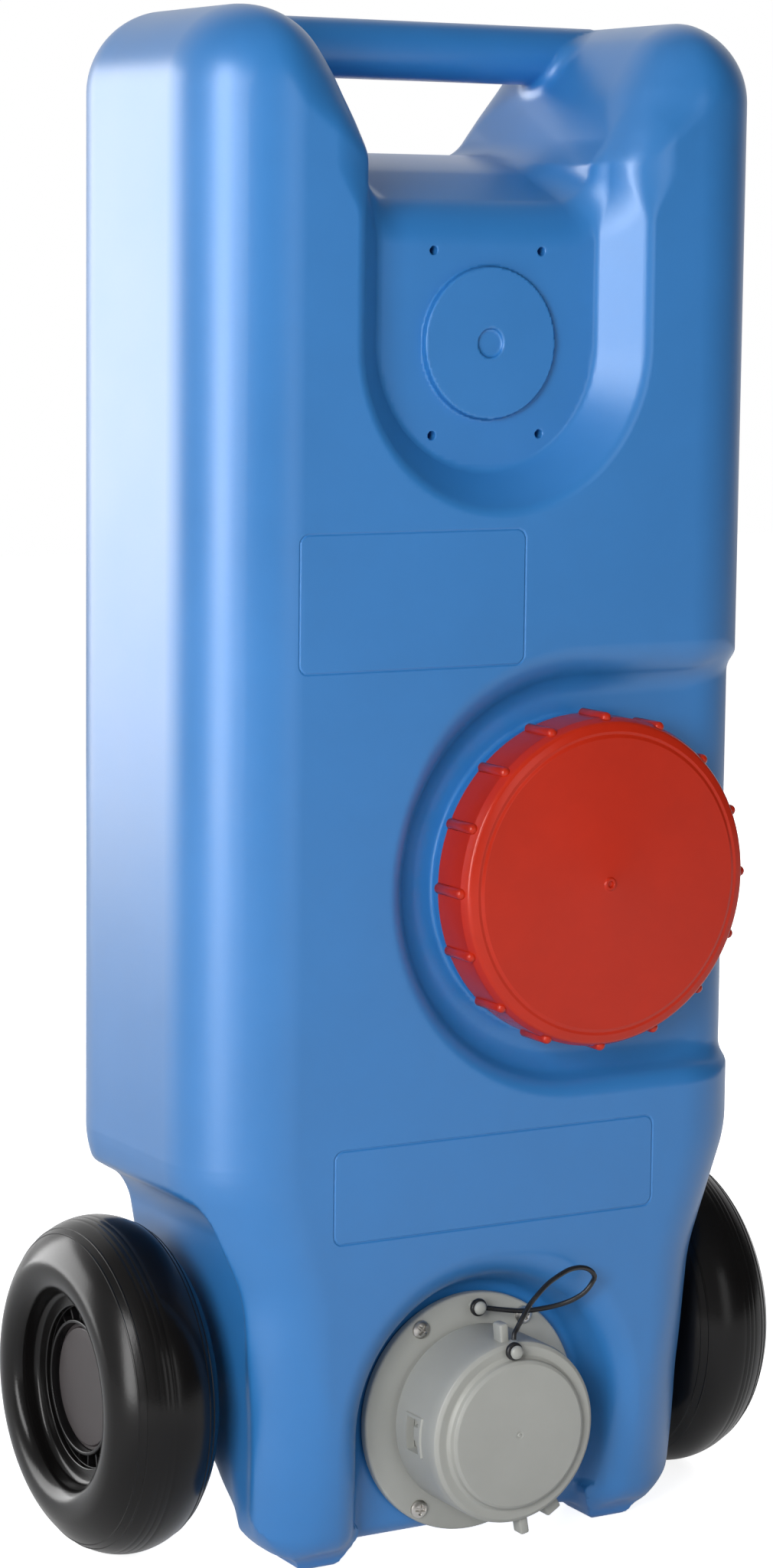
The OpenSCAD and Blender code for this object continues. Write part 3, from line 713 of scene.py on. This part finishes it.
STRAP_ROUTE = [
    (5, 16, 125), (12, 13, 124), (22, 9, 123), (31, 5, 124), (39, 1, 126), (45, -3, 129), (50, -6, 133),
    (53, -8, 138), (53, -10, 142), (49, -11, 146), (43, -12, 148), (36, -13, 148), (29, -14, 146),
    (22, -15, 143), (15, -17, 139), (9, -18, 134), (4, -20, 129), (0, -21, 124), (-2, -22, 122),
    (-3, -23, 119.2),
]
STRAP_D = 2.6
STRAP_APEX = 8
STRAP_STEPS = 6
# Angle and radius of the two posts that hold the strap
FIXED_POST = (90, 56.0)
MOVING_POST = (94, 43.5)
POST_HEAD = 3.5


def eye(axis, angle, r, middle):
    """Flat ring that holds one end of the strap on its post."""
    low = middle - 1.5
    high = middle + 1.5
    profile = rounded([(2.4, low, 0.7), (4.6, low, 1.2), (4.6, high, 1.2), (2.4, high, 0.7)])
    return lathe(profile, turns(40), beside(axis, angle, r), loop=True)[:2]


def make_strap():
    """Tether loop of the outlet cap, in two halves of tube that stay where they are; its two eyes ride on the tank
    and on the cap.
    """
    fixed_ring = eye(outlet_axis, *FIXED_POST, -16)
    fixed_eye = piece("strap_fixed_eye", [fixed_ring], "strap_black", "tank", ["strap_flange_eye"])
    moving_ring = eye(outlet_axis, *MOVING_POST, 23.5)
    moving_eye = piece("strap_moving_eye", [moving_ring], "strap_black", "outlet_lid", ["strap_cap_eye"])
    route = smooth_path([at(*p) for p in STRAP_ROUTE], STRAP_STEPS)
    split = STRAP_APEX * STRAP_STEPS
    halves = [
        ("strap_lower", route[:split + 1], ("tank", "outlet_ring"), fixed_eye),
        ("strap_upper", route[split:], ("outlet_ring", "outlet_lid"), moving_eye),
    ]
    for name, path, bodies, end in halves:
        obj = piece(name, [tube(path, STRAP_D / 2000)], "strap_black", None)
        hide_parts("outlet_strap")
        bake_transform(obj)


def make_tank():
    """Blow-moulded tank, meshed from its distance field."""
    coarse = 2.6
    fine = 0.55
    middle = 1.2
    near = 6.5
    edges_x = []
    edges_z = []
    for cx, cz, half_w, half_h in PANELS:
        edges_x += [cx - half_w, cx + half_w]
        edges_z += [cz - half_h, cz + half_h]
    bands_x = [(e - near, e + near, fine) for e in edges_x] + [(-46, 46, middle)]
    bands_z = [(e - near, e + near, fine) for e in edges_z] + [(560, 668, middle)]
    xs = grid_line(-165.3, 165, coarse, bands_x)
    ys = grid_line(-3.3, 176, coarse, [(-0.9, 1.1, 0.5), (1.1, 32, 1.4)])
    zs = grid_line(-2.2, 778, coarse, bands_z)
    verts, quads = surface_net(tank_field, xs, ys, zs)
    verts = settle(tank_field, verts, quads, 2)
    normals = slope_of(tank_field, verts)
    normals /= np.maximum(np.linalg.norm(normals, axis=1), 1e-9)[:, None]
    mesh = bpy.data.meshes.new("tank")
    points = (verts - (0, FRONT_FACE, 0)) / 1000
    mesh.from_pydata(points.tolist(), [], quads.tolist())
    mesh.validate()
    mesh.shade_smooth()
    mesh.normals_split_custom_set_from_vertices(normals.tolist())
    mesh.materials.append(TANK_BLUE)
    obj = bpy.data.objects.new("tank", mesh)
    bpy.context.scene.collection.objects.link(obj)
    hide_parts("tank_shell")
    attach(obj, "tank")


def make_neck():
    """Threaded neck that the filler cap screws on to."""
    pitch = 8.0
    outer_r = 74.0
    bore_r = 67.2

    def thread(r, h, angle):
        phase = (h - pitch * angle / (2 * math.pi)) / pitch % 1
        crest = max(0.0, 1 - ((phase - 0.5) / 0.22) ** 2)
        ends = ramp(min((h + 1) / 3, (14 - h) / 3))
        return (r + 1.4 * crest * ends, h) if r > outer_r - 0.5 else (r, h)

    profile = [(bore_r, -24.0), (outer_r, -24.0)]
    profile += [(outer_r, h) for h in np.arange(-4, 15.1, 0.6)]
    profile += rounded([(outer_r, 15.4), (73, 16, 0.4), (68, 16, 1.2), (bore_r, 15)])
    shape = lathe(profile, turns(180), filler_axis, loop=True, warp=thread)[:2]
    piece("filler_neck", [shape], "tank_blue", "tank")


def make_filler_cap():
    """Ribbed screw cap of the filler."""
    skirt_r = 83.0
    top = rounded([(0, 23.6), (1.3, 23.6, 0.2), (1.7, 24.9, 0.4), (3.0, 24.9, 0.4), (3.5, 24, 0.3),
                   (73.4, 24, 1.2), (75, 23.2, 1.0), (76.6, 23.4, 1.2), (81.0, 22.0, 3.2),
                   (skirt_r, 17.0, 3.2), (skirt_r, -4.5)])
    profile = top + rounded([(skirt_r - 0.5, -4.6), (76, -4.6, 0.5), (76, 19, 1.5), (0, 19)])
    shapes = [lathe(profile, turns(240), filler_axis)[:2]]
    ribs = 16
    rib_r = 2.8
    rib_end = 17.0
    rib = [(0, rib_end + rib_r)]
    for t in np.linspace(0.2, 1.5708, 7):
        rib.append((rib_r * math.sin(t), rib_end + rib_r * math.cos(t)))
    rib += [(rib_r, -3.6), (rib_r - 0.6, -4.2), (0, -4.2)]
    for n in range(ribs):
        shapes.append(lathe(rib, turns(20), beside(filler_axis, 360 * n / ribs, skirt_r - 0.2))[:2])
    piece("filler_lid", shapes, "cap_red", "filler_lid", ["filler_cap"], angle=50.0)


def post(axis, angle, r, tip, foot, head):
    """Small domed post that an eye of the strap sits on."""
    profile = [(0, tip)]
    for t in (0.3, 0.6, 0.85, 1.0):
        profile.append((head * math.sin(t * math.pi / 2), tip - 2.2 * (1 - math.cos(t * math.pi / 2))))
    profile += [(head - 0.2, tip - 2.9), (2.1, tip - 3.1), (2.1, foot), (0, foot)]
    return lathe(profile, turns(32), beside(axis, angle, r))[:2]


def make_outlet_flange():
    """Screwed flange with the collar that the outlet cap locks on to."""
    flange_r = 62.0
    flange_back = -27.0
    collar_r = 42.8
    collar_end = 15.0

    def lugs(r, h, angle):
        gap = from_level(math.degrees(angle))
        rise = ramp(5.5 - gap) * ramp((3.6 - abs(h)) / 0.6)
        on_collar = collar_r - 0.3 < r < collar_r + 1.2 and h > -20
        return (r + 2.3 * rise, h) if on_collar else (r, h)

    profile = rounded([(OUTLET_R, flange_back), (flange_r, flange_back, 0.6), (flange_r, FLANGE_FACE, 1.4),
                       (collar_r + 0.7, FLANGE_FACE, 1.6), (collar_r, -20)])
    profile += [(collar_r, h) for h in (-19, -6, -3.6, -3, 0, 3, 3.6, 6)]
    profile += rounded([(collar_r, 12), (collar_r, collar_end, 1.0), (OUTLET_R, collar_end, 1.0),
                        (OUTLET_R, 10)])
    shapes = [lathe(profile, turns(240), outlet_axis, loop=True, warp=lugs)[:2]]
    shapes.append(post(outlet_axis, *FIXED_POST, -12.0, -23.0, POST_HEAD))
    piece("outlet_mount", shapes, "outlet_grey", "tank", ["outlet_flange"])


def window_angles(window, lip, edge):
    """Angles of the outlet cap's columns, in degrees, closer together at its two windows."""
    marks = []
    for base in (0, 180):
        marks += [base + a for a in (-edge, -lip, -window, -7, -3.5, 0, 3.5, 7, window, lip, edge)]
    plain = [a for a in range(0, 360, 2) if from_level(a) > edge + 0.8]
    return sorted(m % 360 for m in marks + plain)


def make_outlet_cap():
    """Bayonet cap of the outlet, with two windows, grips and the strap's post."""
    cap_r = 47.0
    bore_r = 43.3
    back_end = -18.0
    window_front = 5
    window_back = -6
    window = 10.5
    lip = 12.2
    degrees = window_angles(window, lip, edge=12.8)
    angles = [math.radians(a) for a in degrees]

    def lipped(r, h, angle):
        gap = from_level(math.degrees(angle))
        framed = gap < lip + 0.2 and -8.2 < h < 7.2
        return (r + 0.9, h) if r > cap_r - 0.5 and framed else (r, h)

    face = rounded([(0, 25.6), (0.8, 25.6, 0.2), (1.2, 25.0, 0.2), (2.2, 25.4, 0.3), (36.4, 25.4, 1.2),
                    (38, 24.2, 0.8), (38.5, 21.9, 1.0), (40, 20.4, 1.2), (44.5, 20.9, 1.2),
                    (46.4, 19.4, 1.2), (cap_r, 17.0)])
    outer = [(cap_r, h) for h in (12, 7.6, 7.0, window_front, window_back, -8.0, -8.6, -13)]
    back = rounded([(cap_r, -16), (cap_r, back_end, 0.6), (bore_r, back_end, 0.6), (bore_r, -15)])
    inner = [(bore_r, window_back), (bore_r, window_front)]
    inside = rounded([(bore_r, 12), (bore_r, 17.6, 1.5), (0, 17.6)])
    profile = face + outer + back + inner + inside
    out_row = len(face) + outer.index((cap_r, window_front))
    in_row = len(face) + len(outer) + len(back)

    def opened(row, column):
        gap = [from_level(degrees[c % len(degrees)]) for c in (column, column + 1)]
        return row in (out_row, in_row) and max(gap) <= window + 0.01

    verts, faces, rows = lathe(profile, angles, outlet_axis, warp=lipped, skip=opened)
    front_out, back_out = rows[out_row], rows[out_row + 1]
    back_in, front_in = rows[in_row], rows[in_row + 1]
    for column in range(len(angles)):
        after = (column + 1) % len(angles)
        if opened(out_row, column):
            faces.append((front_out[column], front_out[after], front_in[after], front_in[column]))
            faces.append((back_out[column], back_out[after], back_in[after], back_in[column]))
        if opened(out_row, column) != opened(out_row, column - 1):
            faces.append((front_out[column], back_out[column], back_in[column], front_in[column]))
    shapes = [(verts, faces)]
    grips = ((95, 5.0, 9.0, 17.0), (-80, 5.0, 9.0, 17.0), (-58, 9.0, -8.0, 13.0))
    for angle, wide, low, high in grips:
        spot = radial(outlet_axis, angle, 50.5, (low + high) / 2)
        shapes.append(soft_box((11.0, wide, high - low), spot, 1.2))
    shapes.append(post(outlet_axis, *MOVING_POST, 28.4, 19.0, POST_HEAD))
    piece("outlet_lid", shapes, "outlet_grey", "outlet_lid", ["outlet_cap"])


def make_screws():
    """Four pan-head screws with cross recesses."""
    radius = 4.7
    shapes = []
    for n, angle in enumerate(OUTLET_SCREWS):
        turn = math.radians(20 + 31 * n)
        rings = np.linspace(0, radius, 20)
        profile = [(float(r), 2.6 - 1.5 * (r / radius) ** 3.2) for r in rings]
        profile += [(radius, 0.0), (2.0, -0.3), (2.0, -7.0), (0, -8.5)]

        def cross(r, h, around, turn=turn):
            if h < 0.9:
                return r, h
            u = abs(r * math.cos(around - turn))
            v = abs(r * math.sin(around - turn))
            arm = ramp((0.85 - min(u, v)) / 0.35) * ramp((2.9 - max(u, v)) / 0.5)
            return r, h - 1.3 * arm

        spot = beside(outlet_axis, angle, OUTLET_SCREW_R, FLANGE_FACE)
        shapes.append(lathe(profile, turns(56), spot, warp=cross)[:2])
    piece("flange_screws", shapes, "screw_steel", "tank", ["outlet_screws"])


# Arcs of the tyre's section, as the middle's r and out, and the radius
TREAD = (54.0, 0.0, 32.0)
SHOULDER = (61.06, 14.83, 15.6)
INNER_CREST = (57.76, 21.7, 8.0)


def on_arc(arc, degrees, rise=0.0):
    """Point (r, out) of an arc of the tyre's section, raised from it by some length."""
    r, out, radius = arc
    t = math.radians(degrees)
    return (r + (radius + rise) * math.cos(t), out + (radius + rise) * math.sin(t))


def tyre_profile():
    """Section of the tyre as (r, out): tread with its fine lines, crests, inner walls and lips."""
    tread_end = 64.4
    shoulder_end = 115.6
    crest_end = 165.0
    features = [(a, 0.4, 0.3) for a in (32.5, 40.0, -32.5, -40.0)]
    features += [(a, 0.5, -0.09) for a in (19.0, 13.0, 7.0)]
    marks = [(a, 0.0) for a in np.linspace(-tread_end, tread_end, 47)]
    marks = [m for m in marks if min(abs(m[0] - f[0]) for f in features) > 1.6]
    for a, half, rise in features:
        marks += [(a - half - 0.5, 0.0), (a - half, rise), (a + half, rise), (a + half + 0.5, 0.0)]
    tread = [on_arc(TREAD, a, rise) for a, rise in sorted(marks)]
    crest = [on_arc(SHOULDER, a) for a in np.linspace(tread_end, shoulder_end, 18)[1:]]
    crest += [on_arc(INNER_CREST, a) for a in np.linspace(shoulder_end, crest_end, 10)[1:]]
    crest += rounded([(50.0, 22.5), (50, 15, 3.4), (41.0, 15, 0.7), (41.0, 12.6), (43.9, 12.6), (43.9, 9)])
    return tread + crest + [(r, -h) for r, h in reversed(crest)]


def make_wheel(side, hand):
    """Plastic wheel: hollow tyre, finned hub and pressed-in hub cap."""
    axis = wheel_axis(hand)
    body = side + "_wheel"
    shape = lathe(tyre_profile(), turns(168), axis, loop=True)[:2]
    piece(side + "_moulded_tyre", [shape], "tyre_black", body, [side + "_tyre"])
    bore_r = 8.3
    boss_r = 14.2
    cap_seat_r = 32.5
    ring_r = 34.5
    rim_inner_r = 40.7
    rim_r = 43.7
    hub = rounded([(bore_r, -23, 0.4), (boss_r, -23, 0.8), (boss_r, -4, 1.0), (rim_inner_r, -4, 1.0),
                   (rim_inner_r, -13, 0.6), (rim_r, -13, 0.6), (rim_r, 12.4, 0.3), (rim_inner_r, 12.4, 0.3),
                   (rim_inner_r, 2, 0.6), (ring_r, 2, 1.0), (ring_r, 16, 0.8), (cap_seat_r, 16, 0.6),
                   (cap_seat_r, 0, 1.0), (bore_r, 0, 0.4)])
    shapes = [lathe(hub, turns(144), axis, loop=True)[:2]]
    fins = 24
    for n in range(fins):
        shapes.append(soft_box((7.2, 1.5, 10.0), radial(axis, 360 * n / fins, 37.6, 6.0), 0.4))
    piece(side + "_finned_hub", shapes, "hub_black", body, [side + "_hub"])
    cap = rounded([(0, 13.2), (22, 13.2), (29.8, 12.9, 0.8), (30.3, 11.5, 0.4), (32.3, 11.4, 0.4),
                   (32.3, 6.2, 0.4), (30, 6.2, 0.3), (30, 11.0, 0.8), (0, 11.0)])
    shape = lathe(cap, turns(120), axis)[:2]
    piece(side + "_pressed_cap", [shape], "hub_cap_grey", body, [side + "_hub_cap"])


def dress_cad_nodes():
    """Procedural finishes for the solids that stay as they are."""
    slots = {part["node"]: part["material_slot"] for part in frame["record"]["subparts"]}
    for name, obj in frame["nodes"].items():
        finish = SLOT_FINISH[slots[name]]
        obj.data.materials.clear()
        obj.data.materials.append(finish)


# Studio, in metres and shares of white
LAMP_AIM = (0.0, 0.0, 0.4)
FLOOR_SEEN = 0.85
FLOOR_MIRRORED = 0.2
ROOM_BRIGHT_SIDE = (-0.85, 0.45, -0.25)


def soft_lamp(name, where, size, power, diffuse=True, glossy=True):
    """Rectangular studio lamp aimed at the tank, seen in shading, in reflections or in both."""
    data = bpy.data.lights.new(name, "AREA")
    data.shape = "RECTANGLE"
    data.size = size[0]
    data.size_y = size[1]
    data.energy = power
    lamp = bpy.data.objects.new(name, data)
    lamp.location = where
    lamp.rotation_euler = (Vector(LAMP_AIM) - Vector(where)).to_track_quat("-Z", "Y").to_euler()
    lamp.visible_diffuse = diffuse
    lamp.visible_glossy = glossy
    bpy.context.scene.collection.objects.link(lamp)


def calculate(tree, operation, *values):
    """Math node over sockets and plain numbers; gives its result."""
    node = tree.nodes.new("ShaderNodeMath")
    node.operation = operation
    for slot, value in zip(node.inputs, values):
        if isinstance(value, float):
            slot.default_value = value
        else:
            tree.links.new(value, slot)
    return node.outputs[0]


def spread(tree, value, from_range, to_range):
    """Map range node; gives its result."""
    node = tree.nodes.new("ShaderNodeMapRange")
    node.inputs["From Min"].default_value, node.inputs["From Max"].default_value = from_range
    node.inputs["To Min"].default_value, node.inputs["To Max"].default_value = to_range
    tree.links.new(value, node.inputs["Value"])
    return node.outputs["Result"]


def make_floor():
    """Pale floor that reads as white to the camera and keeps the shadow."""
    size = 6.0
    mesh = bpy.data.meshes.new("floor")
    corners = [(-size, -size, 0), (size, -size, 0), (size, size, 0), (-size, size, 0)]
    mesh.from_pydata(corners, [], [(0, 1, 2, 3)])
    floor = bpy.data.objects.new("floor", mesh)
    bpy.context.scene.collection.objects.link(floor)
    paint = bpy.data.materials.new("floor_paint")
    paint.use_nodes = True
    tree = paint.node_tree
    shader = tree.nodes["Principled BSDF"]
    shader.inputs["Base Color"].default_value = (0.8, 0.8, 0.8, 1)
    shader.inputs["Roughness"].default_value = 0.9
    shader.inputs["Specular IOR Level"].default_value = 0.1
    shader.inputs["Emission Color"].default_value = (1, 1, 1, 1)
    ray = tree.nodes.new("ShaderNodeLightPath").outputs
    passed_on = calculate(tree, "MAXIMUM", ray["Is Glossy Ray"], ray["Is Transmission Ray"])
    mirrored = calculate(tree, "MULTIPLY", passed_on, FLOOR_MIRRORED)
    glow = calculate(tree, "MULTIPLY_ADD", ray["Is Camera Ray"], FLOOR_SEEN, mirrored)
    tree.links.new(glow, shader.inputs["Emission Strength"])
    mesh.materials.append(paint)


def make_surroundings():
    """World that is white to the camera, white behind in reflections, and brighter from the left."""
    world = bpy.data.worlds.new("studio")
    bpy.context.scene.world = world
    world.use_nodes = True
    tree = world.node_tree
    background = tree.nodes["Background"]
    background.inputs["Color"].default_value = (1, 1, 1, 1)
    ray = tree.nodes.new("ShaderNodeLightPath").outputs
    direction = tree.nodes.new("ShaderNodeTexCoord").outputs["Generated"]
    axes = tree.nodes.new("ShaderNodeSeparateXYZ")
    tree.links.new(direction, axes.inputs[0])
    backdrop = spread(tree, axes.outputs["Y"], (0.1, 0.7), (0.0, 1.0))
    mirrored = calculate(tree, "MULTIPLY", ray["Is Glossy Ray"], backdrop)
    through = calculate(tree, "MAXIMUM", ray["Is Camera Ray"], ray["Is Transmission Ray"])
    seen = calculate(tree, "MAXIMUM", through, mirrored)
    lean = tree.nodes.new("ShaderNodeVectorMath")
    lean.operation = "DOT_PRODUCT"
    lean.inputs[1].default_value = ROOM_BRIGHT_SIDE
    tree.links.new(direction, lean.inputs[0])
    room = spread(tree, lean.outputs["Value"], (-0.9, 0.9), (0.05, 0.5))
    tree.links.new(calculate(tree, "MAXIMUM", seen, room), background.inputs["Strength"])


def make_studio():
    """Floor, surroundings and soft lamps, at a plain level."""
    make_floor()
    make_surroundings()
    soft_lamp("left_rear_box", (-1.45, 1.95, 0.45), (2.0, 2.0), 60.0, diffuse=False)
    soft_lamp("left_front_strip", (-1.85, -0.75, 0.75), (0.62, 1.9), 31.0, diffuse=False)
    soft_lamp("front_card", (0.4, -2.4, 0.6), (0.6, 1.8), 4.0, diffuse=False)
    soft_lamp("left_front_key", (-1.9, -1.65, 1.0), (1.0, 1.0), 50.0, glossy=False)
    soft_lamp("front_fill", (0.2, -2.6, 1.0), (1.2, 1.2), 8.0, glossy=False)
    soft_lamp("back_fill", (1.5, 2.1, 1.3), (1.4, 1.4), 44.0, glossy=False)
    bpy.context.scene.view_settings.view_transform = "Standard"


make_camera()
make_strap()
make_tank()
make_neck()
make_filler_cap()
make_outlet_flange()
make_outlet_cap()
make_screws()
make_wheel("left", -1)
make_wheel("right", 1)
dress_cad_nodes()
make_studio()

bpy.context.view_layer.update()
